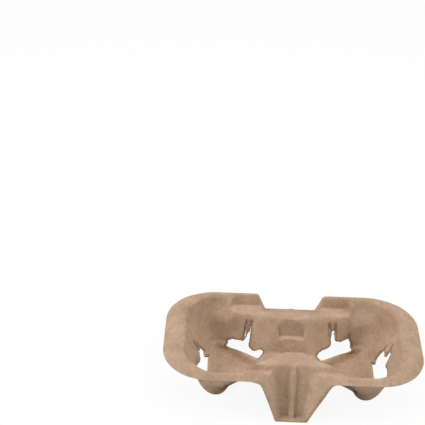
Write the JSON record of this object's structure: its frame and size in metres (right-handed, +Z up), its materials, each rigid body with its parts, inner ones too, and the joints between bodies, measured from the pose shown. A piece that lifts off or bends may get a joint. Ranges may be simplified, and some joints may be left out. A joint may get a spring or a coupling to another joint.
{
  "type": "cup carrier tray",
  "caption": "Moulded-fibre takeaway cup tray with rounded rim, lobed pockets on stepped floors, stepped divider, back notch and a fold-out carrying chute at the front.",
  "frame": {"origin": "centre of the footprint's bounding box, on the surface the feet stand on", "axes": "+X along the length from one pocket to the other, +Y towards the notch in the back rim, +Z up"},
  "size_m": [0.215, 0.112, 0.048],
  "materials": {
    "moulded_pulp": "matte"
  },
  "bodies": {
    "root": {"pulp_tray": "moulded_pulp"}
  },
  "joints": []
}
